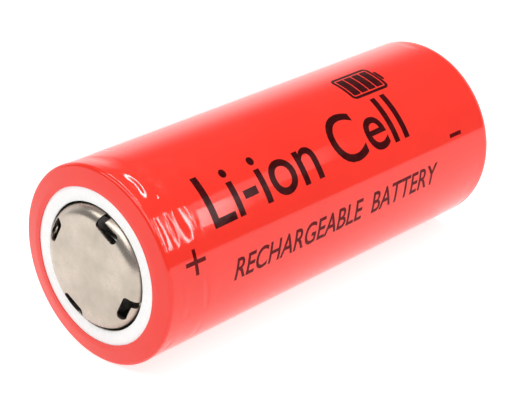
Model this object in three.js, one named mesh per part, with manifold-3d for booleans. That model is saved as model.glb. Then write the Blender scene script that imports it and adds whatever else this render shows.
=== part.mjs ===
// A 26650-size cylindrical lithium-ion cell lying on its side, built as the separate pieces a bench
// teardown gives: shrink sleeve, insulating washer, crimped steel can, cap assembly and wound roll.
//
// Millimetres, +Z up. The cell's axis lies along X through the origin, half way along its length, with
// the positive terminal facing -X and the negative terminal facing +X.
//
// Every piece is made about a height axis that runs from the negative end to the positive end, and
// the whole group is then laid down so that height points along -X. Heights are measured from the
// middle of the cell, so the two ends are at -HALF and +HALF.
import * as THREE from "three";
import { mergeVertices } from "three/addons/utils/BufferGeometryUtils.js";
import Module from "manifold-3d";

const wasm = await Module();
wasm.setup();

// ---------- Driving dimensions ----------
const CELL_LENGTH = 65.0; // positive contact face to negative end
const CELL_RADIUS = 13.25; // over the sleeve
const HALF = CELL_LENGTH / 2;
const FACETS = 36; // round pieces; a multiple of 4 puts a flat underneath
const FIT = 0.02; // gap between pieces that touch

const FILM_T = 0.15; // shrink sleeve
const FILM_CORNER_R = 1.3;
const FILM_SAG = 0.05; // how far the film dips over the can's bead
const POSITIVE_LIP_R = 10.4; // free edge of the film at the positive end
const NEGATIVE_LIP_R = 10.6;

const CAN_R = 13.05;
const CAN_WALL = 0.25;
const CAN_BASE_T = 0.3;
const CAN_CORNER_R = 1.1;
const CAN_LIP_R = 9.9; // free edge of the crimp
const CRIMP_TOP = HALF - 1.35;
const BEAD_HEIGHT = HALF - 5.1; // middle of the rolled bead
const BEAD_HALF_WIDTH = 1.0;
const BEAD_DEPTH = 1.3;

const WASHER_T = 0.25;
const WASHER_R = 11.7;
const WASHER_HOLE_R = 8.5;

const CLAMPED_R = 12.1; // outer radius of everything clamped in the gasket
const GASKET_WALL = 0.5;
const GASKET_BASE_T = 0.4;
const GASKET_BASE_R = 10.7; // inner edge under the clamped stack
const GASKET_FOLD_R = 9.5; // inner edge over the clamped stack
const CAP_T = 0.4;
const CAP_FACE_R = 6.6; // flat contact face
const CAP_WALL_R = 8.3;
const PTC_T = 0.35;
const PTC_HOLE_R = 6.5;
const VENT_T = 0.3;
const SCORE_R = 4.2; // circular score where the vent disc parts
const SCORE_GAP = 0.1;
const DIMPLE_R = 1.3; // the vent disc's dimple, welded to the plate below
const CID_INSULATOR_T = 0.35;
const CID_INSULATOR_R = 9.4;
const CID_PLATE_T = 0.3;
const CID_PLATE_R = 8.6;
const CID_HOLE_COUNT = 6;
const CID_HOLE_R = 0.6;
const CID_HOLE_CIRCLE_R = 3.0;

const WINDOW_COUNT = 4; // vent windows through the cap's shoulder
const FIRST_WINDOW = THREE.MathUtils.degToRad(-29); // turned from the top of the cell
const WINDOW_WIDTH = 3.7;
const WINDOW_INNER_R = 6.3;
const WINDOW_OUTER_R = 7.8;
const WINDOW_CORNER_R = 0.7;
const WINDOW_NOTCH_WIDTH = 1.0; // one end of each window runs out through the cap's wall
const WINDOW_NOTCH_DEPTH = 1.5;

const CORE_R = 2.2; // empty middle of the wound roll
const ROLL_R = 12.35;
const TURNS = 6; // thick turns, each standing for several real ones
const TURN_FACETS = 24;
const LAYER_GAP = 0.025;
const SEPARATOR_T = 0.1;
const ANODE_T = 0.5;
const ANODE_MARGIN = 1.0; // the separators overhang the anode at both ends
const CATHODE_MARGIN = 1.4;

const TAPE_T = 0.13;
const TAPE_WIDTH = 10;
const PIN_R = 1.9;
const PIN_WALL = 0.35;
const PIN_SLIT = 0.5;
const INSULATOR_T = 0.3;
const INSULATOR_R = 12.3;
const GAS_HOLE_R = 1.2;
const GAS_HOLE_CIRCLE_R = 6.0;
const TAB_T = 0.15;
const TAB_WIDTH = 3.0;
const TAB_BEND_R = 0.35;
const TAB_TAPE_T = 0.06;
const TAB_SLOT_PLAY = 0.5;

// ---------- Heights, worked out from the two ends ----------
const canBase = -HALF + FILM_T + FIT; // outside of the can's bottom
const canFloor = canBase + CAN_BASE_T; // inside of it
const lowerTabBase = canFloor + FIT;
const lowerInsulatorBase = lowerTabBase + TAB_T + FIT;
const rollBase = lowerInsulatorBase + INSULATOR_T + 2 * FIT;
const canLipUnderside = CRIMP_TOP - CAN_WALL;
const gasketTop = canLipUnderside - FIT;
const capFlangeTop = gasketTop - GASKET_WALL - FIT;
const capFlangeBase = capFlangeTop - CAP_T;
const ptcTop = capFlangeBase - FIT;
const ventTop = ptcTop - PTC_T - FIT;
const ventBase = ventTop - VENT_T;
const gasketBase = ventBase - FIT - GASKET_BASE_T;
const cidInsulatorTop = ventBase - FIT;
const cidInsulatorBase = cidInsulatorTop - CID_INSULATOR_T;
const cidPlateTop = cidInsulatorBase - FIT;
const cidPlateBase = cidPlateTop - CID_PLATE_T;
const beadBase = BEAD_HEIGHT - BEAD_HALF_WIDTH;
const beadTop = BEAD_HEIGHT + BEAD_HALF_WIDTH;
const upperInsulatorBase = beadBase - CAN_WALL - INSULATOR_T;
const rollTop = upperInsulatorBase - 2 * FIT;
const washerBase = CRIMP_TOP + 2 * FIT;
const filmLip = washerBase + WASHER_T + FIT + FILM_T; // outside of the film at the positive end

// ---------- Radii of the wound layers ----------
const turnPitch = (ROLL_R - CORE_R) / (TURNS + 1);
const cathodeT = turnPitch - 2 * SEPARATOR_T - ANODE_T - 4 * LAYER_GAP;
const innerSeparatorAt = 0; // distances from the start of a turn
const anodeAt = innerSeparatorAt + SEPARATOR_T + LAYER_GAP;
const outerSeparatorAt = anodeAt + ANODE_T + LAYER_GAP;
const cathodeAt = outerSeparatorAt + SEPARATOR_T + LAYER_GAP;

// ---------- Finishes ----------
const finish = (color, roughness, metalness) =>
  new THREE.MeshStandardMaterial({ color, roughness, metalness });
const FILM = finish(0xe8332b, 0.2, 0.0);
const WASHER = finish(0xf7f6f2, 0.7, 0.0);
const NICKEL = finish(0xc4bbac, 0.38, 1.0);
const ALUMINIUM = finish(0xc9cccd, 0.4, 1.0);
const GASKET = finish(0x2a2b2d, 0.55, 0.0);
const RESISTOR = finish(0x3b3a38, 0.6, 0.1);
const INSULATOR = finish(0x9fb6a8, 0.65, 0.0);
const CATHODE = finish(0x2d2e31, 0.85, 0.0);
const ANODE = finish(0x1d1d1f, 0.8, 0.0);
const SEPARATOR = finish(0xf6f6f4, 0.6, 0.0);
const TAPE = finish(0xc98a2e, 0.35, 0.0);

const cell = new THREE.Group();
cell.rotation.z = Math.PI / 2; // height now points along -X

function add(name, geometry, material) {
  const mesh = new THREE.Mesh(geometry, material);
  mesh.name = name;
  cell.add(mesh);
}

// ---------- Shape helpers ----------

// Points of an arc in the (radius, height) plane, between two angles in degrees.
function arc(centreR, centreH, radius, from, to, steps = 3) {
  return Array.from({ length: steps + 1 }, (_, i) => {
    const a = THREE.MathUtils.degToRad(from + ((to - from) * i) / steps);
    return [centreR + radius * Math.cos(a), centreH + radius * Math.sin(a)];
  });
}

// A smooth dip in a wall, from (radius, middle - halfWidth) up to (radius, middle + halfWidth).
function dip(radius, middle, halfWidth, depth, steps = 6) {
  return Array.from({ length: steps + 1 }, (_, i) => {
    const t = (2 * i) / steps - 1;
    return [radius - depth * Math.cos((t * Math.PI) / 2) ** 2, middle + t * halfWidth];
  });
}

// Turns a profile of [radius, height] points, anticlockwise with radius to the right. A profile that
// leaves the axis closes on itself. Radii are true at the middle of each facet.
function turned(profile) {
  const spread = 1 / Math.cos(Math.PI / FACETS);
  const points = profile.map(([r, h]) => new THREE.Vector2(r * spread, h));
  const solidThrough = profile[0][0] === 0 && profile.at(-1)[0] === 0;
  if (!solidThrough) points.push(points[0].clone());
  return new THREE.LatheGeometry(points, FACETS, Math.PI / FACETS);
}

function ring(innerR, outerR, base, top) {
  return turned([[innerR, base], [outerR, base], [outerR, top], [innerR, top]]);
}

function solid(geometry) {
  const bare = geometry.clone();
  bare.deleteAttribute("normal");
  bare.deleteAttribute("uv");
  const merged = mergeVertices(bare, 1e-4);
  return new wasm.Manifold(
    new wasm.Mesh({
      numProp: 3,
      vertProperties: merged.attributes.position.array,
      triVerts: new Uint32Array(merged.index.array),
    }),
  );
}

function cut(geometry, cutters) {
  const rest = cutters.reduce((body, cutter) => body.subtract(solid(cutter)), solid(geometry));
  const { vertProperties, triVerts } = rest.getMesh();
  const shared = new THREE.BufferGeometry();
  shared.setAttribute("position", new THREE.BufferAttribute(vertProperties, 3));
  shared.setIndex(new THREE.BufferAttribute(triVerts, 1));
  const flat = shared.toNonIndexed();
  flat.computeVertexNormals();
  return flat;
}

function rectangle(left, bottom, right, top) {
  const corners = [[left, bottom], [right, bottom], [right, top], [left, top]];
  return new THREE.Shape(corners.map(([x, y]) => new THREE.Vector2(x, y)));
}

// Raises an outline drawn across the cell, x to the side and y to the top, between two heights.
function raised(shape, base, top, curveSegments = 3) {
  const settings = { depth: top - base, bevelEnabled: false, curveSegments };
  return new THREE.ExtrudeGeometry(shape, settings).rotateX(Math.PI / 2).translate(0, top, 0);
}

// A round hole's cutter, through everything between two heights.
function drill(radius, atR, atAngle, base, top) {
  const shape = new THREE.Shape();
  shape.absarc(atR * Math.sin(atAngle), atR * Math.cos(atAngle), radius, 0, 2 * Math.PI);
  return raised(shape, base, top, 6);
}

// A flat strip bent along a path of [radius, height] points, in the plane through the axis, lying
// across the side that x points to.
function strip(path, thickness, width) {
  const half = thickness / 2;
  const points = path.map(([r, h]) => new THREE.Vector2(r, h));
  const normals = points.map((p, i) => {
    const before = points[Math.max(i - 1, 0)];
    const after = points[Math.min(i + 1, points.length - 1)];
    const along = after.clone().sub(before).normalize();
    return new THREE.Vector2(-along.y, along.x).multiplyScalar(half);
  });
  const left = points.map((p, i) => p.clone().add(normals[i]));
  const right = points.map((p, i) => p.clone().sub(normals[i])).reverse();
  const settings = { depth: width, bevelEnabled: false };
  const shape = new THREE.Shape([...left, ...right]);
  return new THREE.ExtrudeGeometry(shape, settings).translate(0, 0, -width / 2);
}

// ---------- Can and sleeve ----------

function steelCan() {
  const corner = CAN_R - CAN_CORNER_R;
  const innerCornerR = CAN_CORNER_R - CAN_WALL;
  const outside = [
    [0, canBase],
    ...arc(corner, canBase + CAN_CORNER_R, CAN_CORNER_R, -90, 0),
    ...dip(CAN_R, BEAD_HEIGHT, BEAD_HALF_WIDTH, BEAD_DEPTH),
    ...arc(corner, CRIMP_TOP - CAN_CORNER_R, CAN_CORNER_R, 0, 90),
    [CAN_LIP_R, CRIMP_TOP],
  ];
  const inside = [
    [CAN_LIP_R, canLipUnderside],
    ...arc(corner, CRIMP_TOP - CAN_CORNER_R, innerCornerR, 90, 0),
    ...dip(CAN_R - CAN_WALL, BEAD_HEIGHT, BEAD_HALF_WIDTH + CAN_WALL, BEAD_DEPTH).reverse(),
    ...arc(corner, canFloor + innerCornerR, innerCornerR, 0, -90),
    [0, canFloor],
  ];
  return turned([...outside, ...inside]);
}

function shrinkSleeve() {
  const corner = CELL_RADIUS - FILM_CORNER_R;
  const inner = CELL_RADIUS - FILM_T;
  const innerCornerR = FILM_CORNER_R - FILM_T;
  return turned([
    [NEGATIVE_LIP_R, -HALF],
    ...arc(corner, -HALF + FILM_CORNER_R, FILM_CORNER_R, -90, 0),
    ...dip(CELL_RADIUS, BEAD_HEIGHT, BEAD_HALF_WIDTH, FILM_SAG),
    ...arc(corner, filmLip - FILM_CORNER_R, FILM_CORNER_R, 0, 90),
    [POSITIVE_LIP_R, filmLip],
    [POSITIVE_LIP_R, filmLip - FILM_T],
    ...arc(corner, filmLip - FILM_CORNER_R, innerCornerR, 90, 0),
    ...dip(inner, BEAD_HEIGHT, BEAD_HALF_WIDTH, FILM_SAG).reverse(),
    ...arc(corner, -HALF + FILM_CORNER_R, innerCornerR, 0, -90),
    [NEGATIVE_LIP_R, -HALF + FILM_T],
  ]);
}

// ---------- Cap assembly ----------

function positiveCap() {
  const shoulderR = CAP_WALL_R - CAP_FACE_R;
  const fillet = 0.45;
  const shoulderHeight = HALF - shoulderR;
  const hat = turned([
    [0, HALF - CAP_T],
    ...arc(CAP_FACE_R, shoulderHeight, shoulderR - CAP_T, 90, 0),
    ...arc(CAP_WALL_R + fillet, capFlangeTop + fillet, fillet + CAP_T, 180, 270, 2),
    [CLAMPED_R, capFlangeBase],
    [CLAMPED_R, capFlangeTop],
    ...arc(CAP_WALL_R + fillet, capFlangeTop + fillet, fillet, 270, 180, 2),
    ...arc(CAP_FACE_R, shoulderHeight, shoulderR, 0, 90),
    [0, HALF],
  ]);
  const slot = new THREE.Shape();
  const half = WINDOW_WIDTH / 2 - WINDOW_CORNER_R;
  const low = WINDOW_INNER_R + WINDOW_CORNER_R;
  const high = WINDOW_OUTER_R - WINDOW_CORNER_R;
  slot.absarc(half, low, WINDOW_CORNER_R, -Math.PI / 2, 0);
  slot.absarc(half, high, WINDOW_CORNER_R, 0, Math.PI / 2);
  slot.absarc(-half, high, WINDOW_CORNER_R, Math.PI / 2, Math.PI);
  slot.absarc(-half, low, WINDOW_CORNER_R, Math.PI, 1.5 * Math.PI);
  const notchFrom = WINDOW_WIDTH / 2 - WINDOW_NOTCH_WIDTH;
  const notch = rectangle(notchFrom, WINDOW_INNER_R + CAP_T, WINDOW_WIDTH / 2, CAP_WALL_R + CAP_T);
  const windows = Array.from({ length: WINDOW_COUNT }, (_, i) => {
    const turn = FIRST_WINDOW + (i * 2 * Math.PI) / WINDOW_COUNT;
    return [
      raised(slot, capFlangeBase, HALF + 1).rotateY(turn),
      raised(notch, HALF - WINDOW_NOTCH_DEPTH, HALF + 1).rotateY(turn),
    ];
  });
  return cut(hat, windows.flat());
}

function crimpGasket() {
  const outer = CAN_R - CAN_WALL - FIT;
  const inner = outer - GASKET_WALL;
  const corner = CAN_R - CAN_CORNER_R;
  const outerCornerR = CAN_CORNER_R - CAN_WALL - FIT;
  return turned([
    [GASKET_BASE_R, gasketBase],
    [outer, gasketBase],
    ...arc(corner, CRIMP_TOP - CAN_CORNER_R, outerCornerR, 0, 90),
    [GASKET_FOLD_R, gasketTop],
    [GASKET_FOLD_R, gasketTop - GASKET_WALL],
    [inner, gasketTop - GASKET_WALL],
    [inner, gasketBase + GASKET_BASE_T],
    [GASKET_BASE_R, gasketBase + GASKET_BASE_T],
  ]);
}

// The middle of the vent disc, with the stamped dimple that touches the plate below it.
function ventDiscCentre() {
  const dimpleBase = cidPlateTop + FIT;
  const slope = 0.35;
  return turned([
    [0, dimpleBase],
    [DIMPLE_R, dimpleBase],
    [DIMPLE_R + slope, ventBase],
    [SCORE_R - SCORE_GAP, ventBase],
    [SCORE_R - SCORE_GAP, ventTop],
    [DIMPLE_R, ventTop],
    [DIMPLE_R - slope, dimpleBase + VENT_T],
    [0, dimpleBase + VENT_T],
  ]);
}

function cidPlate() {
  const blank = turned([
    [0, cidPlateBase],
    [CID_PLATE_R, cidPlateBase],
    [CID_PLATE_R, cidPlateTop],
    [0, cidPlateTop],
  ]);
  const holes = Array.from({ length: CID_HOLE_COUNT }, (_, i) =>
    drill(CID_HOLE_R, CID_HOLE_CIRCLE_R, (i * 2 * Math.PI) / CID_HOLE_COUNT, cidPlateBase - 1, cidPlateTop + 1),
  );
  return cut(blank, holes);
}

// ---------- Wound roll ----------

// One wound layer: a strip that starts at a given distance into the first turn.
function layer(startAt, thickness, margin) {
  const count = TURNS * TURN_FACETS;
  const edge = (offset) =>
    Array.from({ length: count + 1 }, (_, i) => {
      const r = CORE_R + startAt + offset + (i / TURN_FACETS) * turnPitch;
      const angle = ((i - 0.5) / TURN_FACETS) * 2 * Math.PI;
      return new THREE.Vector2(r * Math.cos(angle), r * Math.sin(angle));
    });
  const outline = new THREE.Shape([...edge(thickness), ...edge(0).reverse()]);
  return raised(outline, rollBase + margin, rollTop - margin);
}

// Radius of the middle of a layer after a whole or half number of turns, where a facet faces the tab.
function layerRadius(startAt, thickness, turns) {
  const cornerR = CORE_R + startAt + thickness / 2 + (turns + 0.5 / TURN_FACETS) * turnPitch;
  return cornerR * Math.cos(Math.PI / TURN_FACETS);
}

function centrePin() {
  const inner = PIN_R - PIN_WALL;
  const slit = Math.asin(PIN_SLIT / 2 / PIN_R);
  const shape = new THREE.Shape();
  shape.absarc(0, 0, PIN_R, slit, 2 * Math.PI - slit);
  shape.absarc(0, 0, inner, 2 * Math.PI - slit, slit, true);
  return raised(shape, rollBase + CATHODE_MARGIN, rollTop - CATHODE_MARGIN, 10);
}

// ---------- Tabs and insulators ----------

const positiveTabR = layerRadius(cathodeAt, cathodeT, 4);
const negativeTabR = layerRadius(anodeAt, ANODE_T, TURNS - 0.5);

// Rises from the cathode, then folds across the roll and back to the plate's underside.
function positiveTab() {
  const start = rollTop - CATHODE_MARGIN + LAYER_GAP;
  const foldHeight = upperInsulatorBase + INSULATOR_T + 0.6;
  const weldHeight = cidPlateBase - FIT - TAB_T / 2;
  const foldR = (weldHeight - foldHeight) / 2;
  const farSide = -positiveTabR + 3;
  return strip(
    [
      [positiveTabR, start],
      ...arc(positiveTabR - TAB_BEND_R, foldHeight - TAB_BEND_R, TAB_BEND_R, 0, 90, 3),
      ...arc(farSide, foldHeight + foldR, foldR, 270, 90, 6),
      [CID_PLATE_R - 2, weldHeight],
    ],
    TAB_T,
    TAB_WIDTH,
  );
}

// Drops from the anode's last turn, then lies along the can's floor to the middle.
function negativeTab() {
  const start = rollBase + ANODE_MARGIN - LAYER_GAP;
  const floorHeight = lowerTabBase + TAB_T / 2;
  return strip(
    [
      [-negativeTabR, start],
      ...arc(-negativeTabR + TAB_BEND_R, floorHeight + TAB_BEND_R, TAB_BEND_R, 180, 270, 3),
      [TAB_WIDTH / 2, floorHeight],
    ],
    TAB_T,
    TAB_WIDTH,
  );
}

// A sleeve of tape round a tab's straight stretch.
function tabTape(centreX, base, top) {
  const box = (grow) => {
    const x = TAB_T / 2 + grow;
    const y = TAB_WIDTH / 2 + grow;
    return rectangle(centreX - x, -y, centreX + x, y);
  };
  const shape = box(FIT + TAB_TAPE_T);
  shape.holes.push(box(FIT));
  return raised(shape, base, top);
}

// A slot's cutter for a tab that stands through an insulator at a given place along x.
function tabSlot(centreX, base) {
  const x = TAB_T / 2 + TAB_SLOT_PLAY / 2;
  const y = TAB_WIDTH / 2 + TAB_SLOT_PLAY;
  return raised(rectangle(centreX - x, -y, centreX + x, y), base - 1, base + INSULATOR_T + 1);
}

function upperInsulator() {
  const base = upperInsulatorBase;
  const gasHoles = [0, 120, 240].map((degrees) =>
    drill(GAS_HOLE_R, GAS_HOLE_CIRCLE_R, THREE.MathUtils.degToRad(degrees - 30), base - 1, base + 1),
  );
  const blank = ring(PIN_R, INSULATOR_R, base, base + INSULATOR_T);
  return cut(blank, [...gasHoles, tabSlot(positiveTabR, base)]);
}

function lowerInsulator() {
  const base = lowerInsulatorBase;
  return cut(ring(PIN_R, INSULATOR_R, base, base + INSULATOR_T), [tabSlot(-negativeTabR, base)]);
}

// ---------- Assembly, outside to inside ----------
const tapeInner = ROLL_R + 2 * FIT;

add("shrink_sleeve", shrinkSleeve(), FILM);
add("insulating_washer", ring(WASHER_HOLE_R, WASHER_R, washerBase, washerBase + WASHER_T), WASHER);
add("steel_can", steelCan(), NICKEL);
add("crimp_gasket", crimpGasket(), GASKET);
add("positive_cap", positiveCap(), NICKEL);
add("ptc_ring", ring(PTC_HOLE_R, CLAMPED_R, ptcTop - PTC_T, ptcTop), RESISTOR);
add("vent_disc_rim", ring(SCORE_R, CLAMPED_R, ventBase, ventTop), ALUMINIUM);
add("vent_disc_centre", ventDiscCentre(), ALUMINIUM);
add("cid_insulator", ring(SCORE_R, CID_INSULATOR_R, cidInsulatorBase, cidInsulatorTop), INSULATOR);
add("cid_plate", cidPlate(), ALUMINIUM);
add("upper_insulator", upperInsulator(), INSULATOR);
add("lower_insulator", lowerInsulator(), INSULATOR);
add("separator_inner", layer(innerSeparatorAt, SEPARATOR_T, 0), SEPARATOR);
add("anode_sheet", layer(anodeAt, ANODE_T, ANODE_MARGIN), ANODE);
add("separator_outer", layer(outerSeparatorAt, SEPARATOR_T, 0), SEPARATOR);
add("cathode_sheet", layer(cathodeAt, cathodeT, CATHODE_MARGIN), CATHODE);
add("roll_tape_bottom", ring(tapeInner, tapeInner + TAPE_T, rollBase, rollBase + TAPE_WIDTH), TAPE);
add("roll_tape_top", ring(tapeInner, tapeInner + TAPE_T, rollTop - TAPE_WIDTH, rollTop), TAPE);
add("centre_pin", centrePin(), NICKEL);
add("positive_tab", positiveTab(), ALUMINIUM);
add("negative_tab", negativeTab(), NICKEL);
add("positive_tab_tape", tabTape(positiveTabR, rollTop - 0.8, upperInsulatorBase + INSULATOR_T), TAPE);
add("negative_tab_tape", tabTape(-negativeTabR, rollBase - 0.1, rollBase + 0.8), TAPE);

export default cell;
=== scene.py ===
"""Looks of a cylindrical lithium-ion cell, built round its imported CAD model.

Blender places are in metres in the CAD frame: the cell's axis is X, the positive terminal faces -X, the
printed side faces -Y and +Z is up. Round pieces are drawn in millimetres, as a radius from the axis and a
height along it, which grows towards the positive terminal. An angle round the cell is measured from the
top, +Z, towards the printed side.
"""

import math
import random

import bmesh
import bpy
import numpy as np
from mathutils import Matrix, Vector


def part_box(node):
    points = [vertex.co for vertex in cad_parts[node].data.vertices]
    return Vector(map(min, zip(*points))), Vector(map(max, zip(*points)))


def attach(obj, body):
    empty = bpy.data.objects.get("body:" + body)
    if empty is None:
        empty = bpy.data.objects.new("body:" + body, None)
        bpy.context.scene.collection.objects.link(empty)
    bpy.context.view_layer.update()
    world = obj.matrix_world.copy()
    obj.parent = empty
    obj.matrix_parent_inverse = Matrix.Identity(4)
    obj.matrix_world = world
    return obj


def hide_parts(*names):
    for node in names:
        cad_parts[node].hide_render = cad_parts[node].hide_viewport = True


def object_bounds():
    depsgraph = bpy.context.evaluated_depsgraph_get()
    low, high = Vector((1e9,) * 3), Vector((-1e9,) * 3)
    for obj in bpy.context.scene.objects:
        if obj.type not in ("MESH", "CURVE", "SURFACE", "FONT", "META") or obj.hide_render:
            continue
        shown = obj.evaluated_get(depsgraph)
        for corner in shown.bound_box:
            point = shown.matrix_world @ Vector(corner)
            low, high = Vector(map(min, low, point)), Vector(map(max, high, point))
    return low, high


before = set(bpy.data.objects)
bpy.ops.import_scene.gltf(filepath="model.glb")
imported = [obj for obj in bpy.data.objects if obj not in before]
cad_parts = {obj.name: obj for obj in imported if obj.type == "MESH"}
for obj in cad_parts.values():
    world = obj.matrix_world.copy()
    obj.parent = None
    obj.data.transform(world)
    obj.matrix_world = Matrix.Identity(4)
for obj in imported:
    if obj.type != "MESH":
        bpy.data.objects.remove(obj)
cad_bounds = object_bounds()

MM = 0.001
BODY = "cell_body"
VENT_BODY = "vent_button"
ROUND = 192  # facets round a turned piece
FILM_ROUND = 620  # facets round the sleeve, whose wrinkles are narrow


# ---------- Places from the CAD model, in millimetres ----------


def span(node):
    """Lowest and highest height of a node, and its outer radius."""
    low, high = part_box(node)
    return -high.x / MM, -low.x / MM, high.z / MM


SLEEVE_BASE, SLEEVE_TOP, SLEEVE_R = span("shrink_sleeve")
CAN_BASE, CAN_TOP, CAN_R = span("steel_can")
FLANGE_BASE, CAP_TOP, CLAMPED_R = span("positive_cap")
WASHER_BASE, WASHER_TOP, WASHER_R = span("insulating_washer")


# ---------- Camera and light ----------

CAMERA_AZIMUTH = math.radians(-47.0)
CAMERA_ELEVATION = math.radians(23.9)
CAMERA_DISTANCE = 231 * MM
CAMERA_LENS = 116.15
CAMERA_SHIFT_X = -0.0100
CAMERA_SHIFT_Y = -0.0179
ROOM_LIGHT = (0.30, 0.30, 0.31, 1)
BACKDROP_LIGHT = (1.35, 1.35, 1.35, 1)
BACKDROP_SIDES = (0.15, 0.6)  # cosines of the angle off straight behind: where it fades in, and is whole
BACKDROP_TOP = (0.62, 0.24)  # sines of the elevation: where it ends, and below which it is whole
FLOOR_RADIUS = 1.2
FLOOR_GAP = 0.03 * MM  # the film and the floor don't share a surface


def direction(azimuth, elevation):
    """Unit vector towards a place seen at an azimuth from -Y, turning towards +X, and an elevation."""
    flat = math.cos(elevation)
    return Vector((math.sin(azimuth) * flat, -math.cos(azimuth) * flat, math.sin(elevation)))


def make_camera():
    data = bpy.data.cameras.new("camera")
    data.lens = CAMERA_LENS
    data.shift_x = CAMERA_SHIFT_X
    data.shift_y = CAMERA_SHIFT_Y
    data.clip_start = 0.01
    camera = bpy.data.objects.new("camera", data)
    towards_camera = direction(CAMERA_AZIMUTH, CAMERA_ELEVATION)
    camera.location = towards_camera * CAMERA_DISTANCE
    camera.rotation_euler = towards_camera.to_track_quat("Z", "Y").to_euler()
    bpy.context.collection.objects.link(camera)
    bpy.context.scene.camera = camera


def make_area_light(name, azimuth, elevation, distance, width, height, radiance):
    """A soft box of a given brightness, facing the cell, its width square to the cell's axis."""
    data = bpy.data.lights.new(name, "AREA")
    data.shape = "RECTANGLE"
    data.size = width
    data.size_y = height
    data.energy = radiance * math.pi * width * height  # watts, for a lambertian emitter
    light = bpy.data.objects.new(name, data)
    towards = direction(math.radians(azimuth), math.radians(elevation))
    side = Vector((1, 0, 0)).cross(towards).normalized()
    turn = Matrix((side, towards.cross(side), towards)).transposed().to_4x4()
    light.matrix_world = Matrix.Translation(towards * distance) @ turn
    bpy.context.collection.objects.link(light)


def make_world():
    """A dim room with a pale backdrop low down behind the cell."""
    world = bpy.data.worlds.new("studio")
    bpy.context.scene.world = world
    world.use_nodes = True
    tree = world.node_tree
    nodes, links = tree.nodes, tree.links
    nodes.clear()
    coords = nodes.new("ShaderNodeTexCoord")
    split = nodes.new("ShaderNodeSeparateXYZ")
    links.new(coords.outputs["Generated"], split.inputs[0])
    # How far a direction points behind the cell, as the main view sees it.
    behind = nodes.new("ShaderNodeVectorMath")
    behind.operation = "DOT_PRODUCT"
    behind.inputs[1].default_value = -direction(CAMERA_AZIMUTH, 0)
    links.new(coords.outputs["Generated"], behind.inputs[0])
    side = nodes.new("ShaderNodeMapRange")
    side.interpolation_type = "SMOOTHSTEP"
    side.inputs["From Min"].default_value, side.inputs["From Max"].default_value = BACKDROP_SIDES
    links.new(behind.outputs["Value"], side.inputs["Value"])
    low = nodes.new("ShaderNodeMapRange")
    low.interpolation_type = "SMOOTHSTEP"
    low.inputs["From Min"].default_value, low.inputs["From Max"].default_value = BACKDROP_TOP
    links.new(split.outputs["Z"], low.inputs["Value"])
    both = nodes.new("ShaderNodeMath")
    both.operation = "MULTIPLY"
    links.new(side.outputs["Result"], both.inputs[0])
    links.new(low.outputs["Result"], both.inputs[1])
    mix = nodes.new("ShaderNodeMix")
    mix.data_type = "RGBA"
    mix.inputs["A"].default_value = ROOM_LIGHT
    mix.inputs["B"].default_value = BACKDROP_LIGHT
    links.new(both.outputs[0], mix.inputs["Factor"])
    background = nodes.new("ShaderNodeBackground")
    links.new(mix.outputs["Result"], background.inputs["Color"])
    output = nodes.new("ShaderNodeOutputWorld")
    links.new(background.outputs[0], output.inputs["Surface"])


def make_floor():
    """A pale round table top, bright enough to read as white."""
    mesh = bpy.data.meshes.new("floor")
    sheet = bmesh.new()
    bmesh.ops.create_circle(sheet, cap_ends=True, segments=128, radius=FLOOR_RADIUS)
    sheet.to_mesh(mesh)
    sheet.free()
    floor = bpy.data.objects.new("floor", mesh)
    floor.location.z = cad_bounds[0][2] - FLOOR_GAP
    bpy.context.collection.objects.link(floor)
    material = bpy.data.materials.new("floor")
    material.use_nodes = True
    shader = material.node_tree.nodes["Principled BSDF"]
    shader.inputs["Base Color"].default_value = (0.5, 0.5, 0.5, 1)
    shader.inputs["Roughness"].default_value = 0.6
    shader.inputs["Specular IOR Level"].default_value = 0.0
    shader.inputs["Emission Color"].default_value = (1, 0.99, 0.975, 1)
    shader.inputs["Emission Strength"].default_value = 0.8
    mesh.materials.append(material)


def make_lights():
    """Soft boxes: name, azimuth and elevation in degrees, distance, width and height in metres, radiance."""
    for light in (
        ("key", -28, 58, 0.6, 0.45, 0.45, 2.8),
        ("overhead", 101.8, 59, 0.585, 0.5, 0.045, 20),
        ("left", -108, 52, 0.6, 0.5, 0.14, 4.8),
        ("strip", 43, 27, 0.547, 0.15, 0.021, 5),
        ("tube", 41.2, 28.5, 0.539, 0.3, 0.014, 18),
        ("window", 50, 33, 0.56, 0.13, 0.07, 1.0),
    ):
        make_area_light(*light)


# ---------- Mesh helpers ----------


def rounded(corners, steps=4):
    """A closed outline whose corners, given as (radius, height, fillet), are rounded off."""
    outline = []
    for i, (r, h, fillet) in enumerate(corners):
        corner = Vector((r, h))
        if fillet == 0:
            outline.append((r, h))
            continue
        before = (Vector(corners[i - 1][:2]) - corner).normalized()
        after = (Vector(corners[(i + 1) % len(corners)][:2]) - corner).normalized()
        half = before.angle(after) / 2
        centre = corner + (before + after).normalized() * (fillet / math.sin(half))
        start = corner + before * (fillet / math.tan(half)) - centre
        end = corner + after * (fillet / math.tan(half)) - centre
        first = math.atan2(start.y, start.x)
        sweep = (math.atan2(end.y, end.x) - first + math.pi) % (2 * math.pi) - math.pi
        for k in range(steps + 1):
            a = first + sweep * k / steps
            outline.append((centre.x + fillet * math.cos(a), centre.y + fillet * math.sin(a)))
    return outline


def arc(centre_r, centre_h, radius, start, stop, steps):
    """Points (radius, height) of an arc between two angles in degrees.

    An angle is 0 outwards from the axis and 90 towards the positive end.
    """
    angles = np.radians(np.linspace(start, stop, steps + 1))
    return [(centre_r + radius * math.cos(a), centre_h + radius * math.sin(a)) for a in angles]


def dip(radius, middle, half_width, depth, steps=24):
    """Points of a smooth groove in a wall, towards the positive end."""
    places = np.linspace(-1, 1, steps + 1)
    return [(radius - depth * math.cos(t * math.pi / 2) ** 2, middle + t * half_width) for t in places]


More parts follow.
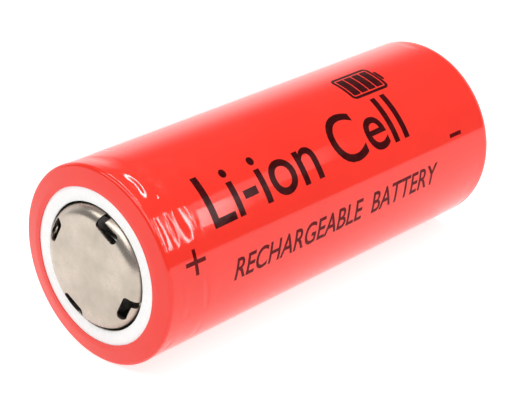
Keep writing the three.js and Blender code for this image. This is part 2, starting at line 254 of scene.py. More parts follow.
def mesh_object(name, vertices, faces, smooth_below=35):
    """An object from plain lists, smooth except at edges sharper than an angle in degrees."""
    mesh = bpy.data.meshes.new(name)
    mesh.from_pydata([tuple(v) for v in vertices], [], [tuple(f) for f in faces])
    mesh.validate()
    piece = bpy.data.objects.new(name, mesh)
    bpy.context.collection.objects.link(piece)
    smooth(mesh, smooth_below)
    return piece


def smooth(mesh, smooth_below):
    work = bmesh.new()
    work.from_mesh(mesh)
    bmesh.ops.remove_doubles(work, verts=work.verts, dist=1e-8)
    bmesh.ops.recalc_face_normals(work, faces=work.faces)
    work.to_mesh(mesh)
    work.free()
    mesh.shade_smooth()
    mesh.set_sharp_from_angle(angle=math.radians(smooth_below))


def around(r, h, angle):
    """The point, in metres, at a radius and a height, at an angle round the cell."""
    return (-h * MM, -r * math.sin(angle) * MM, r * math.cos(angle) * MM)


def turned_grid(profile, segments, moved=None):
    """Vertices and faces of a closed outline turned round the axis.

    moved(row, angle) may give the point (radius, height) of that row at that angle.
    """
    rows = []
    vertices = []
    for row, (r, h) in enumerate(profile):
        if abs(r) < 1e-6:
            rows.append([len(vertices)] * segments)
            vertices.append(around(0, h, 0))
            continue
        rows.append(range(len(vertices), len(vertices) + segments))
        for k in range(segments):
            angle = 2 * math.pi * k / segments
            place = moved(row, angle) if moved else (r, h)
            vertices.append(around(place[0], place[1], angle))
    faces = []
    for row in range(len(rows)):
        here, following = rows[row], rows[(row + 1) % len(rows)]
        for k in range(segments):
            corners = [here[k], here[(k + 1) % segments], following[(k + 1) % segments], following[k]]
            face = list(dict.fromkeys(corners))
            if len(face) > 2:
                faces.append(face)
    return vertices, faces


def turned(name, profile, segments=ROUND):
    return mesh_object(name, *turned_grid(profile, segments))


def ring(name, inner_r, outer_r, base, top, fillet=0.04):
    """A flat ring with rounded edges."""
    corners = [(inner_r, base), (outer_r, base), (outer_r, top), (inner_r, top)]
    return turned(name, rounded([(r, h, fillet) for r, h in corners], 3))


def prism(outline, base, top):
    """A cutter between two heights. Its outline is drawn across the cell, x away from the print and y up."""
    count = len(outline)
    vertices = [(-h * MM, x * MM, y * MM) for h in (base, top) for x, y in outline]
    faces = [list(range(count)), list(range(count, 2 * count))[::-1]]
    faces += [[i, (i + 1) % count, (i + 1) % count + count, i + count] for i in range(count)]
    return mesh_object("cutter", vertices, faces)


def turn_outline(outline, degrees):
    """Turns an outline about the axis, from the top towards the printed side."""
    c, s = math.cos(math.radians(degrees)), math.sin(math.radians(degrees))
    return [(x * c - y * s, x * s + y * c) for x, y in outline]


def rounded_box(left, bottom, right, top, fillet, steps=5):
    """Points round a rectangle with rounded corners, anticlockwise."""
    points = []
    for x, y, start in (
        (right - fillet, top - fillet, 0),
        (left + fillet, top - fillet, 90),
        (left + fillet, bottom + fillet, 180),
        (right - fillet, bottom + fillet, 270),
    ):
        points += arc(x, y, fillet, start, start + 90, steps)
    return points


def cut(piece, cutters, smooth_below=35):
    """Cuts cutters out of a piece, and deletes the cutters."""
    for cutter in cutters:
        modifier = piece.modifiers.new("cut", "BOOLEAN")
        modifier.operation = "DIFFERENCE"
        modifier.solver = "EXACT"
        modifier.object = cutter
        apply_modifiers(piece)
        bpy.data.objects.remove(cutter)
    smooth(piece.data, smooth_below)


def apply_modifiers(piece):
    shown = piece.evaluated_get(bpy.context.evaluated_depsgraph_get())
    mesh = bpy.data.meshes.new_from_object(shown)
    piece.modifiers.clear()
    piece.data = mesh


def bevel_edges(piece, width, sharper_than=40, segments=2):
    modifier = piece.modifiers.new("bevel", "BEVEL")
    modifier.width = width * MM
    modifier.segments = segments
    modifier.limit_method = "ANGLE"
    modifier.angle_limit = math.radians(sharper_than)
    modifier.use_clamp_overlap = True
    apply_modifiers(piece)
    smooth(piece.data, 35)


# ---------- Material helpers ----------


def new_material(name):
    """A material with its Principled shader, and the tree to add nodes to."""
    material = bpy.data.materials.new(name)
    material.use_nodes = True
    tree = material.node_tree
    return material, tree, tree.nodes["Principled BSDF"]


def set_inputs(shader, **values):
    for name, value in values.items():
        shader.inputs[name.replace("_", " ")].default_value = value


def object_coords(tree, scale=(1, 1, 1)):
    coords = tree.nodes.new("ShaderNodeTexCoord")
    mapping = tree.nodes.new("ShaderNodeMapping")
    mapping.inputs["Scale"].default_value = scale
    tree.links.new(coords.outputs["Object"], mapping.inputs["Vector"])
    return mapping.outputs["Vector"]


def noise(tree, vector, scale, detail=4.0, roughness=0.55):
    node = tree.nodes.new("ShaderNodeTexNoise")
    node.inputs["Scale"].default_value = scale
    node.inputs["Detail"].default_value = detail
    node.inputs["Roughness"].default_value = roughness
    tree.links.new(vector, node.inputs["Vector"])
    return node.outputs["Fac"]


def ramp(tree, value, stops):
    """Colours for a value, from a list of (position, colour)."""
    node = tree.nodes.new("ShaderNodeValToRGB")
    elements = node.color_ramp.elements
    while len(elements) < len(stops):
        elements.new(0.5)
    for element, (position, colour) in zip(elements, stops):
        element.position = position
        element.color = (*colour, 1)
    tree.links.new(value, node.inputs["Fac"])
    return node.outputs["Color"]


def ranged(tree, value, low, high, from_low=0.3, from_high=0.7):
    """A noise value stretched to a range."""
    node = tree.nodes.new("ShaderNodeMapRange")
    node.inputs["From Min"].default_value = from_low
    node.inputs["From Max"].default_value = from_high
    node.inputs["To Min"].default_value = low
    node.inputs["To Max"].default_value = high
    tree.links.new(value, node.inputs["Value"])
    return node.outputs["Result"]


def bump(tree, shader, height, strength, distance):
    """Adds a bump to a shader, over any bump it has already."""
    node = tree.nodes.new("ShaderNodeBump")
    node.inputs["Strength"].default_value = strength
    node.inputs["Distance"].default_value = distance
    tree.links.new(height, node.inputs["Height"])
    normal = shader.inputs["Normal"]
    if normal.links:
        tree.links.new(normal.links[0].from_socket, node.inputs["Normal"])
    tree.links.new(node.outputs["Normal"], normal)


# ---------- Materials ----------


def film_material():
    material, tree, shader = new_material("red_film")
    where = object_coords(tree)
    cloud = noise(tree, where, 90, 3)
    colour = ramp(tree, cloud, [(0.3, (0.80, 0.026, 0.013)), (0.7, (0.86, 0.031, 0.016))])
    tree.links.new(colour, shader.inputs["Base Color"])
    tree.links.new(ranged(tree, noise(tree, where, 700, 4), 0.045, 0.11), shader.inputs["Roughness"])
    bump(tree, shader, noise(tree, where, 1500, 3), 0.05, 0.00003)
    return material


def ink_material(name, dark, light):
    """Black ink. Where it is thin, more of the film's red comes through."""
    material, tree, shader = new_material(name)
    where = object_coords(tree)
    mottled = noise(tree, where, 900, 5)
    colour = ramp(tree, mottled, [(0.35, dark), (0.75, light)])
    tree.links.new(colour, shader.inputs["Base Color"])
    tree.links.new(ranged(tree, mottled, 0.08, 0.2), shader.inputs["Roughness"])
    set_inputs(shader, Specular_IOR_Level=0.1)
    bump(tree, shader, noise(tree, where, 2500, 3), 0.08, 0.00002)
    return material


def washer_material():
    material, tree, shader = new_material("white_washer")
    where = object_coords(tree)
    fibres = noise(tree, where, 1800, 6, 0.7)
    colour = ramp(tree, fibres, [(0.3, (0.88, 0.88, 0.87)), (0.7, (0.95, 0.95, 0.94))])
    tree.links.new(colour, shader.inputs["Base Color"])
    set_inputs(shader, Roughness=0.65)
    bump(tree, shader, fibres, 0.25, 0.00002)
    return material


def nickel_material(name, light=(0.54, 0.47, 0.40), dark=(0.42, 0.37, 0.31), roughness=(0.24, 0.36)):
    """Satin nickel plating: cloudy patches, fine grain and a few hairline scratches."""
    material, tree, shader = new_material(name)
    where = object_coords(tree)
    clouds = noise(tree, where, 260, 5, 0.6)
    tree.links.new(ramp(tree, clouds, [(0.32, dark), (0.68, light)]), shader.inputs["Base Color"])
    set_inputs(shader, Metallic=1.0)
    tree.links.new(ranged(tree, clouds, roughness[1], roughness[0]), shader.inputs["Roughness"])
    bump(tree, shader, noise(tree, where, 5000, 4, 0.7), 0.12, 0.00002)
    scratches = noise(tree, object_coords(tree, (1, 0.05, 1)), 4500, 2)
    bump(tree, shader, scratches, 0.05, 0.00002)
    return material


def plain_material(name, dark, light, roughness, grain=1500, metallic=0.0, depth=0.00003):
    """A hidden piece's finish: two close shades, varied gloss and a fine grain."""
    material, tree, shader = new_material(name)
    where = object_coords(tree)
    cloud = noise(tree, where, grain / 4, 5)
    tree.links.new(ramp(tree, cloud, [(0.3, dark), (0.7, light)]), shader.inputs["Base Color"])
    set_inputs(shader, Metallic=metallic)
    spread = 0.12 * roughness
    rough = ranged(tree, cloud, roughness - spread, roughness + spread)
    tree.links.new(rough, shader.inputs["Roughness"])
    bump(tree, shader, noise(tree, where, grain, 4, 0.6), 0.2, depth)
    return material


FILM = film_material()
INK = ink_material("black_ink", (0.030, 0.001, 0.0012), (0.060, 0.002, 0.0025))
THIN_INK = ink_material("thin_black_ink", (0.085, 0.001, 0.0015), (0.145, 0.003, 0.004))
WASHER = washer_material()
NICKEL = nickel_material("satin_nickel")
CAN_NICKEL = nickel_material("can_nickel", (0.53, 0.50, 0.46), (0.43, 0.405, 0.37), (0.22, 0.34))
GASKET = plain_material("gasket_polymer", (0.012, 0.012, 0.013), (0.03, 0.03, 0.032), 0.5)
PTC = plain_material("ptc_composite", (0.03, 0.029, 0.027), (0.07, 0.067, 0.062), 0.6)
ALUMINIUM = plain_material("rolled_aluminium", (0.70, 0.71, 0.72), (0.82, 0.83, 0.84), 0.32, 2500, 1.0)
INSULATOR = plain_material("insulator_sheet", (0.27, 0.38, 0.32), (0.38, 0.50, 0.43), 0.65, 1800)
SEPARATOR = plain_material("separator_film", (0.83, 0.83, 0.82), (0.92, 0.92, 0.91), 0.5, 3000)
ANODE = plain_material("anode_coating", (0.012, 0.012, 0.013), (0.03, 0.03, 0.031), 0.75, 4000)
CATHODE = plain_material("cathode_coating", (0.022, 0.023, 0.026), (0.05, 0.052, 0.057), 0.8, 4000)
TAPE = plain_material("amber_tape", (0.50, 0.20, 0.025), (0.66, 0.30, 0.05), 0.28, 900)
TAB_NICKEL = plain_material("tab_nickel", (0.56, 0.53, 0.48), (0.66, 0.63, 0.58), 0.3, 2500, 1.0)


def finish(piece, material, slot, *nodes, body=BODY):
    """Gives a piece its material and the body it moves with, and hides the CAD parts it stands for."""
    piece.data.materials.clear()
    piece.data.materials.append(material)
    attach(piece, body)
    if nodes:
        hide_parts(*nodes)


# ---------- Shrink sleeve ----------

FILM_T = 0.15
FILM_CORNER_R = 1.3
FACE_FLAT_R = 11.1  # the film's positive face leans back outside this, over the can's rounded crimp
FACE_LEAN = 11
FACE_BLEND = 0.2  # over which the lean sets in
FACE_EDGE_R = 0.5
PLAIN_FROM, PUCKERED_FROM = -28.0, 23.6  # the film lies smooth between these heights
POSITIVE_LIP_R = 10.4
NEGATIVE_LIP_R = 10.6
LIP_WAVE = 0.035  # how far the cut edges stray
BEAD_HEIGHT = 27.4
FILM_SAG = 0.016
FILM_SAG_HALF_WIDTH = 1.6
DENT_REACH = 1.35  # how many half widths out a dent fades to nothing
DENT_FADE = 0.9  # over how many half widths it fades
DENT_FAR = 1.6  # how many half lengths off a dent isn't looked at

# Where the film has shrunk unevenly over the can's crimp and bead: height, angle, half length round the
# cell, half width along it, tilt, and how far it dents, or bulges where that is negative. Millimetres
# and degrees.
DENTS = [
    (29.7, 25, 2.0, 0.80, 3, 0.064),
    (28.3, 36.5, 0.25, 0.80, 0, 0.030),
    (28.6, -2, 3.2, 1.20, -6, 0.050),
    (30.9, 80, 1.0, 0.14, 0, 0.040),
    (30.35, 55, 2.4, 0.34, 2, 0.014),
    (28.75, 54, 2.5, 0.62, 0, 0.022),
    (25.7, 51.5, 2.7, 1.35, 0, -0.034),
    (28.7, 55, 1.6, 0.16, 8, 0.006),
    (25.3, 51, 1.8, 0.16, -6, 0.006),
    (24.9, 53, 1.5, 0.16, 5, 0.005),
]


def step(value):
    """0 below 0, 1 above 1 and smooth between."""
    t = min(max(value, 0), 1)
    return t * t * (3 - 2 * t)


def scattered_dents():
    """More dents in the same two zones, on the rest of the circumference, and some at the negative end."""
    first = 84  # degrees round the cell
    dice = random.Random(7)
    found = []
    for zone, spread, count in ((29.2, 1.2, 16), (25.6, 0.8, 9), (-30.0, 0.9, 14)):
        for i in range(count):
            angle = first + (360 - first) * (i + dice.uniform(0.1, 0.9)) / count
            depth = dice.uniform(0.012, 0.045)
            length = dice.uniform(0.9, 2.6)
            width = dice.uniform(0.35, 0.7)
            height = zone + dice.uniform(-1, 1) * spread
            tilt = dice.uniform(-12, 12)
            found.append((height, angle, length, width, tilt, depth))
    return found


DENTS += scattered_dents()


def film_relief(height, angle):
    """How far the film stands in or out of a true cylinder at a place."""
    relief = 0.0
    across = abs(height - BEAD_HEIGHT) / FILM_SAG_HALF_WIDTH
    if across < 1:
        relief -= FILM_SAG * math.cos(across * math.pi / 2) ** 2
    for dent_height, degrees, length, width, tilt, depth in DENTS:
        aside = height - dent_height
        turn = (angle - math.radians(degrees) + math.pi) % (2 * math.pi) - math.pi
        along = turn * SLEEVE_R
        if max(abs(along), abs(aside)) > DENT_FAR * length:
            continue
        t = math.radians(tilt)
        u = along * math.cos(t) + aside * math.sin(t)
        v = aside * math.cos(t) - along * math.sin(t)
        relief -= depth * step((DENT_REACH - math.hypot(u / length, v / width)) / DENT_FADE)
    return relief


def film_outline(lip, corner, near_end, middle, puckered, edge, face):
    """The film's outer outline, from its free edge at the negative end to the one at the positive end.

    The arguments say how many steps each part of it takes.
    """
    corner_r = SLEEVE_R - FILM_CORNER_R
    corner_h = SLEEVE_BASE + FILM_CORNER_R
    lean = math.radians(FACE_LEAN)
    edge_r = SLEEVE_R - FACE_EDGE_R
    face_r = edge_r + FACE_EDGE_R * math.sin(lean)
    edge_h = SLEEVE_TOP - (face_r - FACE_FLAT_R) * math.tan(lean) - FACE_EDGE_R * math.cos(lean)
    points = [(r, SLEEVE_BASE) for r in np.linspace(NEGATIVE_LIP_R, corner_r, lip + 1)[:-1]]
    points += arc(corner_r, corner_h, FILM_CORNER_R, -90, 0, corner)
    for start, stop, steps in (
        (corner_h, PLAIN_FROM, near_end),
        (PLAIN_FROM, PUCKERED_FROM, middle),
        (PUCKERED_FROM, edge_h, puckered),
    ):
        points += [(SLEEVE_R, h) for h in np.linspace(start, stop, steps + 1)[1:]]
    points += arc(edge_r, edge_h, FACE_EDGE_R, 0, 90 - FACE_LEAN, edge)[1:]
    for r in np.linspace(face_r, POSITIVE_LIP_R, face + 1)[1:]:
        past = r - FACE_FLAT_R
        points.append((r, SLEEVE_TOP - math.tan(lean) * (past + math.hypot(past, FACE_BLEND)) / 2))
    return np.array(points)


def outward(points):
    """The outline's outward normals."""
    along = np.gradient(points, axis=0)
    normals = np.stack([along[:, 1], -along[:, 0]], 1)
    return normals / np.linalg.norm(normals, axis=1)[:, None]


def lip_wave(angle, seed, size):
    """Slow waves of a cut edge."""
    dice = random.Random(seed)
    waves = [(n, dice.uniform(0, 2 * math.pi), dice.uniform(0.5, 1) / math.sqrt(n)) for n in (2, 3, 5, 8, 13)]
    return size * sum(share * math.sin(n * angle + phase) for n, phase, share in waves)


def make_sleeve():
    outside = film_outline(lip=4, corner=8, near_end=16, middle=8, puckered=68, edge=10, face=14)
    facing = outward(outside)
    inside = film_outline(lip=2, corner=6, near_end=2, middle=4, puckered=3, edge=6, face=5)
    inside = (inside - outward(inside) * FILM_T)[::-1]
    profile = np.concatenate([outside, inside])

    def moved(row, angle):
        r, h = profile[row]
        flat_r = FACE_FLAT_R if h > 0 else SLEEVE_R - FILM_CORNER_R
        if r < flat_r:
            lip_r = POSITIVE_LIP_R if h > 0 else NEGATIVE_LIP_R
            near_lip = 1 - (r - lip_r) / (flat_r - lip_r)
            return r + near_lip * lip_wave(angle, 3 if h > 0 else 4, LIP_WAVE), h
        if row >= len(outside):
            return r, h
        relief = film_relief(h, angle)
        return r + facing[row][0] * relief, h + facing[row][1] * relief

    sleeve = mesh_object("shrink_sleeve_film", *turned_grid(profile, FILM_ROUND, moved))
    finish(sleeve, FILM, "red_shrink_film", "shrink_sleeve")


# ---------- Print on the film ----------

INK_PROUD = 0.010
INK_SUNK = 0.030  # how far it reaches into the film, so that no gap shows under it
INK_STEP = 0.45  # the print bends round the cell in steps no longer than this


def flat_text(text, cap_height, slant=0.0, squeeze=1.0, bolder=0.0):
    """A line of plain lettering as a flat bmesh, its baseline on y = 0 and its left end at x = 0."""
    curve = bpy.data.curves.new("lettering", "FONT")
    curve.body = text
    curve.shear = slant
    curve.offset = bolder
    curve.resolution_u = 6
    carrier = bpy.data.objects.new("lettering", curve)
    bpy.context.collection.objects.link(carrier)
    shown = carrier.evaluated_get(bpy.context.evaluated_depsgraph_get())
    mesh = bpy.data.meshes.new_from_object(shown)
    sheet = bmesh.new()
    sheet.from_mesh(mesh)
    bpy.data.objects.remove(carrier)
    bpy.data.curves.remove(curve)
    bpy.data.meshes.remove(mesh)
    bmesh.ops.remove_doubles(sheet, verts=sheet.verts, dist=1e-6)
    left = min(v.co.x for v in sheet.verts)
    top = max(v.co.y for v in sheet.verts)
    for v in sheet.verts:
        v.co.x = (v.co.x - left) * squeeze * cap_height / top
        v.co.y = v.co.y * cap_height / top
    return sheet


def add_face(sheet, points):
    sheet.faces.new([sheet.verts.new((x, y, 0)) for x, y in points])


def flat_battery_sign(width, height):
    """A plain battery pictogram: a framed body with charge bars and a nub.

    Its lower left corner is at the origin.
    """
    line = 0.09 * height
    nub = 0.07 * width
    body = width - nub
    sheet = bmesh.new()
    outer = [sheet.verts.new((x, y, 0)) for x, y in rounded_box(0, 0, body, height, 0.16 * height)]
    inner = [
        sheet.verts.new((x, y, 0))
        for x, y in rounded_box(line, line, body - line, height - line, 0.07 * height)
    ]
    for i in range(len(outer)):
        j = (i + 1) % len(outer)
        sheet.faces.new([outer[i], outer[j], inner[j], inner[i]])
    add_face(sheet, rounded_box(body + 0.2 * line, 0.3 * height, width, 0.7 * height, 0.05 * height))
    bars = 4
    gap = 0.5 * line
    bar = (body - 2 * line - (bars + 1) * gap) / bars
    for i in range(bars):
        left = line + gap + i * (bar + gap)
        low = line + gap
        add_face(sheet, rounded_box(left, low, left + bar, height - low, 0.03 * height))
    return sheet


def flat_plus(size, stroke):
    sheet = bmesh.new()
    a, b = size / 2, stroke / 2
    corners = [(a, -b), (a, b), (b, b), (b, a), (-b, a), (-b, b)]
    corners += [(-x, -y) for x, y in corners]
    add_face(sheet, corners)
    return sheet


def flat_minus(width, stroke):
    sheet = bmesh.new()
    add_face(sheet, rounded_box(-width / 2, -stroke / 2, width / 2, stroke / 2, 0.12 * stroke, 3))
    return sheet


def cut_every(sheet, step_length):
    """Cuts a flat mesh along a grid, so that it can bend."""
    for axis in (0, 1):
        across = Vector((1, 0, 0)) if axis == 0 else Vector((0, 1, 0))
        low = min(v.co[axis] for v in sheet.verts)
        high = max(v.co[axis] for v in sheet.verts)
        for place in np.arange(low + step_length / 2, high, step_length):
            geometry = sheet.verts[:] + sheet.edges[:] + sheet.faces[:]
            bmesh.ops.bisect_plane(sheet, geom=geometry, plane_co=across * place, plane_no=across, dist=1e-5)


def printed(name, sheet, x, degrees, lean=0.0, ink=INK):
    """Wraps a flat outline round the sleeve, its origin at a place on it, as a thin solid layer of ink.

    x runs from the middle of the cell towards the negative end. lean is how many degrees round the cell
    the line drifts from one end of the outline to the other.
    """
    cut_every(sheet, INK_STEP)
    sheet.verts.index_update()
    length = max(v.co.x for v in sheet.verts)
    tops, bottoms = [], []
    for v in sheet.verts:
        height = -(x + v.co.x)
        angle = math.radians(degrees + lean * v.co.x / length) - v.co.y / SLEEVE_R
        surface = SLEEVE_R + film_relief(height, angle)
        tops.append(around(surface + INK_PROUD, height, angle))
        bottoms.append(around(surface - INK_SUNK, height, angle))
    below = len(tops)
    faces = [[v.index for v in face.verts] for face in sheet.faces]
    faces += [[v + below for v in reversed(face)] for face in faces]
    for edge in sheet.edges:
        if edge.is_boundary:
            a, b = (v.index for v in edge.verts)
            faces.append([a, b, b + below, a + below])
    sheet.free()
    piece = mesh_object(name, tops + bottoms, faces, 50)
    finish(piece, ink, "black_ink")


def make_print():
    words = flat_text("Li-ion Cell", 7.0, squeeze=0.93, bolder=0.008)
    printed("ink_words", words, x=-22.2, degrees=64, lean=-4)
    small_words = flat_text("RECHARGEABLE  BATTERY", 2.8, slant=0.3, squeeze=0.84, bolder=0.012)
    printed("ink_small_words", small_words, x=-20.4, degrees=96.4, lean=-2.4, ink=THIN_INK)
    printed("ink_battery_sign", flat_battery_sign(8.0, 5.0), x=10.6, degrees=27)
    printed("ink_plus", flat_plus(3.3, 0.52), x=-26.6, degrees=76.2, ink=THIN_INK)
    printed("ink_minus", flat_minus(2.5, 0.55), x=24.9, degrees=70.4, ink=THIN_INK)


# ---------- Can, washer and cap ----------

CAN_WALL = 0.25
CAN_BASE_T = 0.3
CAN_CORNER_R = 1.1
CAN_LIP_R = 9.9
BEAD_HALF_WIDTH = 1.0
BEAD_DEPTH = 1.3
WASHER_HOLE_R = 8.5
WASHER_LEAN = 0.18  # the outer edge sinks with the film over it
CAP_T = 0.4
CAP_FACE_R = 6.6
CAP_WALL_R = 8.3
CAP_FILLET = 0.45
WINDOW_COUNT = 4
FIRST_WINDOW = 29  # degrees round the cell
WINDOW_WIDTH = 3.7
WINDOW_INNER_R = 6.3
WINDOW_OUTER_R = 7.65
WINDOW_CORNER_R = 0.64
WINDOW_NOTCH_WIDTH = 1.0
WINDOW_NOTCH_DEPTH = 1.5


def make_can():
    corner = CAN_R - CAN_CORNER_R
    low_corner = CAN_BASE + CAN_CORNER_R
    high_corner = CAN_TOP - CAN_CORNER_R
    inner_corner_r = CAN_CORNER_R - CAN_WALL
    edge = CAN_WALL / 2
    outside = [(0, CAN_BASE), (corner / 2, CAN_BASE)]
    outside += arc(corner, low_corner, CAN_CORNER_R, -90, 0, 10)
    outside += dip(CAN_R, BEAD_HEIGHT, BEAD_HALF_WIDTH, BEAD_DEPTH)
    outside += arc(corner, high_corner, CAN_CORNER_R, 0, 90, 10)
    outside += arc(CAN_LIP_R + edge, CAN_TOP - edge, edge, 90, 270, 6)
    inside = arc(corner, high_corner, inner_corner_r, 90, 0, 8)
    inside += dip(CAN_R - CAN_WALL, BEAD_HEIGHT, BEAD_HALF_WIDTH + CAN_WALL, BEAD_DEPTH)[::-1]
    inside += arc(corner, CAN_BASE + CAN_BASE_T + inner_corner_r, inner_corner_r, 0, -90, 8)
    inside += [(0, CAN_BASE + CAN_BASE_T)]
    can = turned("steel_can_cup", outside + inside)
    finish(can, CAN_NICKEL, "nickel_plated_steel", "steel_can")


def make_washer():
    outline = rounded(
        [
            (WASHER_HOLE_R, WASHER_BASE, 0.03),
            (WASHER_R, WASHER_BASE, 0.03),
            (WASHER_R, WASHER_TOP - WASHER_LEAN, 0.03),
            (FACE_FLAT_R - 0.2, WASHER_TOP, 0.4),
            (WASHER_HOLE_R, WASHER_TOP, 0.08),
        ]
    )

    def moved(row, angle):
        """The die leaves the hole's edge a little uneven."""
        r, h = outline[row]
        near_hole = step((WASHER_HOLE_R + 0.5 - r) / 0.4)
        return r + near_hole * lip_wave(angle, 11, 0.012), h

    washer = mesh_object("insulating_washer_disc", *turned_grid(outline, ROUND, moved))
    finish(washer, WASHER, "white_washer", "insulating_washer")


def make_cap():
    shoulder_r = CAP_WALL_R - CAP_FACE_R
    shoulder = CAP_TOP - shoulder_r
    flange_top = FLANGE_BASE + CAP_T
    foot = CAP_WALL_R + CAP_FILLET
    profile = [(0, CAP_TOP - CAP_T), (CAP_FACE_R / 2, CAP_TOP - CAP_T)]
    profile += arc(CAP_FACE_R, shoulder, shoulder_r - CAP_T, 90, 0, 16)
    profile += arc(foot, flange_top + CAP_FILLET, CAP_FILLET + CAP_T, 180, 270, 8)
    profile += [(CLAMPED_R, FLANGE_BASE), (CLAMPED_R, flange_top)]
    profile += arc(foot, flange_top + CAP_FILLET, CAP_FILLET, 270, 180, 8)
    profile += arc(CAP_FACE_R, shoulder, shoulder_r, 0, 90, 24)
    profile += [(CAP_FACE_R / 2, CAP_TOP), (0, CAP_TOP)]
    cap = turned("positive_cap_hat", profile)
    half = WINDOW_WIDTH / 2
    slot = rounded_box(-half, WINDOW_INNER_R, half, WINDOW_OUTER_R, WINDOW_CORNER_R, 8)
    notch_from = half - WINDOW_NOTCH_WIDTH
    notch = rounded_box(notch_from, WINDOW_INNER_R + CAP_T, half, CAP_WALL_R + CAP_T, 0.15, 4)
    cutters = []
    for i in range(WINDOW_COUNT):
        turn = FIRST_WINDOW + i * 360 / WINDOW_COUNT
        cutters.append(prism(turn_outline(slot, turn), FLANGE_BASE, CAP_TOP + 1))
        cutters.append(prism(turn_outline(notch, turn), CAP_TOP - WINDOW_NOTCH_DEPTH, CAP_TOP + 1))
    cut(cap, cutters)
    bevel_edges(cap, 0.18, sharper_than=50)
    finish(cap, NICKEL, "nickel_plated_steel", "positive_cap")


# ---------- Sealed inside ----------

FIT = 0.02
GASKET_WALL = 0.5
GASKET_BASE_T = 0.4
GASKET_BASE_R = 10.7
GASKET_FOLD_R = 9.5
PTC_HOLE_R = 6.5
SCORE_R = 4.2
SCORE_GAP = 0.1
SCORE_LAND = 0.12  # what the score leaves of the vent disc's thickness
DIMPLE_R = 1.3
VENT_T = 0.3
CID_HOLE_COUNT = 6
CID_HOLE_R = 0.6
CID_HOLE_CIRCLE_R = 3.0
PIN_R = 1.9
PIN_WALL = 0.35
PIN_SLIT = 0.5
GAS_HOLE_R = 1.2
GAS_HOLE_CIRCLE_R = 6.0
TAB_WIDTH = 3.0
TAB_SLOT_WIDTH = 0.65
TAB_SLOT_PLAY = 0.5  # at each end of the slot

CORE_R = 2.2
ROLL_R = 12.35
TURNS = 19.5
TURN_STEPS = 64
LAYER_GAP = 0.012
SEPARATOR_T = 0.06
ANODE_T = 0.17


def make_gasket():
    base, top, outer = span("crimp_gasket")
    corner = CAN_R - CAN_CORNER_R
    outer_corner_r = CAN_CORNER_R - CAN_WALL - FIT
    inner = outer - GASKET_WALL
    fold = top - GASKET_WALL
    edge = 0.1
    outline = [(GASKET_BASE_R, base), (outer, base)]
    outline += arc(corner, CAN_TOP - CAN_CORNER_R, outer_corner_r, 0, 90, 8)
    outline += arc(GASKET_FOLD_R + edge, top - edge, edge, 90, 180, 3)
    outline += arc(GASKET_FOLD_R + edge, fold + edge, edge, 180, 270, 3)
    outline += [(inner, fold), (inner, base + GASKET_BASE_T)]
    outline += arc(GASKET_BASE_R + edge, base + GASKET_BASE_T - edge, edge, 90, 180, 3)
    finish(turned("crimp_gasket_ring", outline), GASKET, "gasket_polymer", "crimp_gasket")


def make_ptc_ring():
    """Carbon-filled polymer between two thin metal faces."""
    base, top, outer = span("ptc_ring")
    foil = 0.05
    recess = 0.06
    corners = [(PTC_HOLE_R, base), (outer, base), (outer, base + foil), (outer - recess, base + foil)]
    corners += [(outer - recess, top - foil), (outer, top - foil), (outer, top), (PTC_HOLE_R, top)]
    corners += [(PTC_HOLE_R, top - foil), (PTC_HOLE_R + recess, top - foil)]
    corners += [(PTC_HOLE_R + recess, base + foil), (PTC_HOLE_R, base + foil)]
    finish(turned("ptc_ring_disc", corners), PTC, "ptc_composite", "ptc_ring")


def make_vent_disc():
    """The vent disc in its two parts, with the V of the score between them."""
    base, top, outer = span("vent_disc_rim")
    rim = [(SCORE_R, base), (outer, base), (outer, top), (SCORE_R + SCORE_LAND, top)]
    rim += [(SCORE_R, base + SCORE_LAND)]
    finish(turned("vent_disc_rim_ring", rim), ALUMINIUM, "vent_aluminium", "vent_disc_rim")
    dimple_base = span("vent_disc_centre")[0]
    edge = SCORE_R - SCORE_GAP
    slope = 0.35
    centre = rounded(
        [
            (0, dimple_base, 0),
            (DIMPLE_R, dimple_base, 0.15),
            (DIMPLE_R + slope, base, 0.15),
            (edge, base, 0),
            (edge, base + SCORE_LAND, 0),
            (edge - SCORE_LAND, top, 0),
            (DIMPLE_R, top, 0.15),
            (DIMPLE_R - slope, dimple_base + VENT_T, 0.15),
            (0, dimple_base + VENT_T, 0),
        ]
    )
    piece = turned("vent_disc_middle", centre)
    finish(piece, ALUMINIUM, "vent_aluminium", "vent_disc_centre", body=VENT_BODY)


def round_hole(at_r, degrees, radius, base, top):
    """A drill through everything between two heights."""
    centre_x, centre_y = turn_outline([(0, at_r)], degrees)[0]
    return prism(arc(centre_x, centre_y, radius, 0, 360, 32)[:-1], base, top)


def tab_slot(node, base, top):
    """A slot's cutter where a tab stands through an insulator, as the tab's tape shows."""
    low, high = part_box(node)
    middle = (low.y + high.y) / 2 / MM
    half = TAB_WIDTH / 2 + TAB_SLOT_PLAY
    x = TAB_SLOT_WIDTH / 2
    return prism(rounded_box(middle - x, -half, middle + x, half, 0.15), base, top)


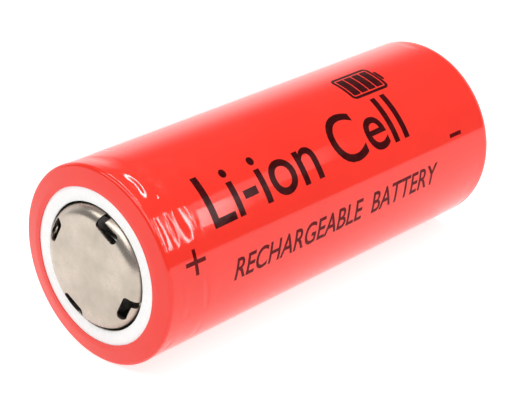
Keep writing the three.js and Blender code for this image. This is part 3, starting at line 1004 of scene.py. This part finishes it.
def make_discs():
    """The ring and plate under the vent disc, and the discs at the roll's two ends."""
    base, top, outer = span("cid_insulator")
    insulator = ring("cid_insulator_ring", SCORE_R, outer, base, top)
    finish(insulator, INSULATOR, "insulator_polymer", "cid_insulator")

    base, top, outer = span("cid_plate")
    plate = turned("cid_plate_disc", [(0, base), (outer, base), (outer, top), (0, top)])
    turns = [i * 360 / CID_HOLE_COUNT for i in range(CID_HOLE_COUNT)]
    cut(plate, [round_hole(CID_HOLE_CIRCLE_R, -turn, CID_HOLE_R, base - 1, top + 1) for turn in turns])
    bevel_edges(plate, 0.04)
    finish(plate, ALUMINIUM, "vent_aluminium", "cid_plate")

    base, top, outer = span("upper_insulator")
    upper = ring("upper_insulator_disc", PIN_R, outer, base, top)
    holes = [
        round_hole(GAS_HOLE_CIRCLE_R, degrees, GAS_HOLE_R, base - 1, top + 1) for degrees in (30, -90, -210)
    ]
    cut(upper, holes + [tab_slot("positive_tab_tape", base - 1, top + 1)])
    finish(upper, INSULATOR, "insulator_polymer", "upper_insulator")

    base, top, outer = span("lower_insulator")
    lower = ring("lower_insulator_disc", PIN_R, outer, base, top)
    cut(lower, [tab_slot("negative_tab_tape", base - 1, top + 1)])
    finish(lower, INSULATOR, "insulator_polymer", "lower_insulator")


def make_roll():
    """The wound roll: two separators, an anode and a cathode, with a tape band at each end."""
    pitch = (ROLL_R - CORE_R) / (TURNS + 1)
    cathode_t = pitch - 2 * SEPARATOR_T - ANODE_T - 4 * LAYER_GAP
    start = CORE_R
    for name, node, thickness, material, slot in (
        ("separator_inner_web", "separator_inner", SEPARATOR_T, SEPARATOR, "separator_film"),
        ("anode_web", "anode_sheet", ANODE_T, ANODE, "anode_coating"),
        ("separator_outer_web", "separator_outer", SEPARATOR_T, SEPARATOR, "separator_film"),
        ("cathode_web", "cathode_sheet", cathode_t, CATHODE, "cathode_coating"),
    ):
        base, top, _ = span(node)
        finish(wound(name, start, thickness, pitch, base, top), material, slot, node)
        start += thickness + LAYER_GAP
    for name in ("roll_tape_bottom", "roll_tape_top"):
        base, top, outer = span(name)
        band = ring(name + "_band", ROLL_R + 2 * FIT, outer, base, top, 0.03)
        finish(band, TAPE, "amber_tape", name)


def wound(name, start_r, thickness, pitch, base, top):
    """A strip wound into a spiral."""
    vertices, faces = [], []
    count = round(TURNS * TURN_STEPS)
    for i in range(count + 1):
        r = start_r + pitch * i / TURN_STEPS
        angle = -2 * math.pi * i / TURN_STEPS - math.pi / 2
        for corner_r, h in ((r, base), (r + thickness, base), (r + thickness, top), (r, top)):
            vertices.append(around(corner_r, h, angle))
    for i in range(count):
        a = 4 * i
        faces += [[a + k, a + (k + 1) % 4, a + (k + 1) % 4 + 4, a + k + 4] for k in range(4)]
    faces += [[0, 1, 2, 3], [4 * count + k for k in range(4)]]
    return mesh_object(name, vertices, faces)


def make_pin():
    """A slit tube in the roll's core."""
    base, top, _ = span("centre_pin")
    slit = math.degrees(math.asin(PIN_SLIT / 2 / PIN_R))
    outline = arc(0, 0, PIN_R, slit, 360 - slit, 72)
    outline += arc(0, 0, PIN_R - PIN_WALL, 360 - slit, slit, 72)
    pin = prism(outline, base, top)
    pin.name = "centre_pin_tube"
    bevel_edges(pin, 0.05)
    finish(pin, TAB_NICKEL, "tab_nickel", "centre_pin")


def carry_over():
    """Finishes for the CAD pieces that keep their own shape."""
    looks = {
        "positive_tab": ALUMINIUM,
        "negative_tab": TAB_NICKEL,
        "positive_tab_tape": TAPE,
        "negative_tab_tape": TAPE,
    }
    for node, material in looks.items():
        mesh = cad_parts[node].data
        mesh.materials.clear()
        mesh.materials.append(material)


make_camera()
make_world()
make_floor()
make_lights()
bpy.context.scene.view_settings.view_transform = "Standard"
make_sleeve()
make_print()
make_can()
make_washer()
make_cap()
make_gasket()
make_ptc_ring()
make_vent_disc()
make_discs()
make_roll()
make_pin()
carry_over()
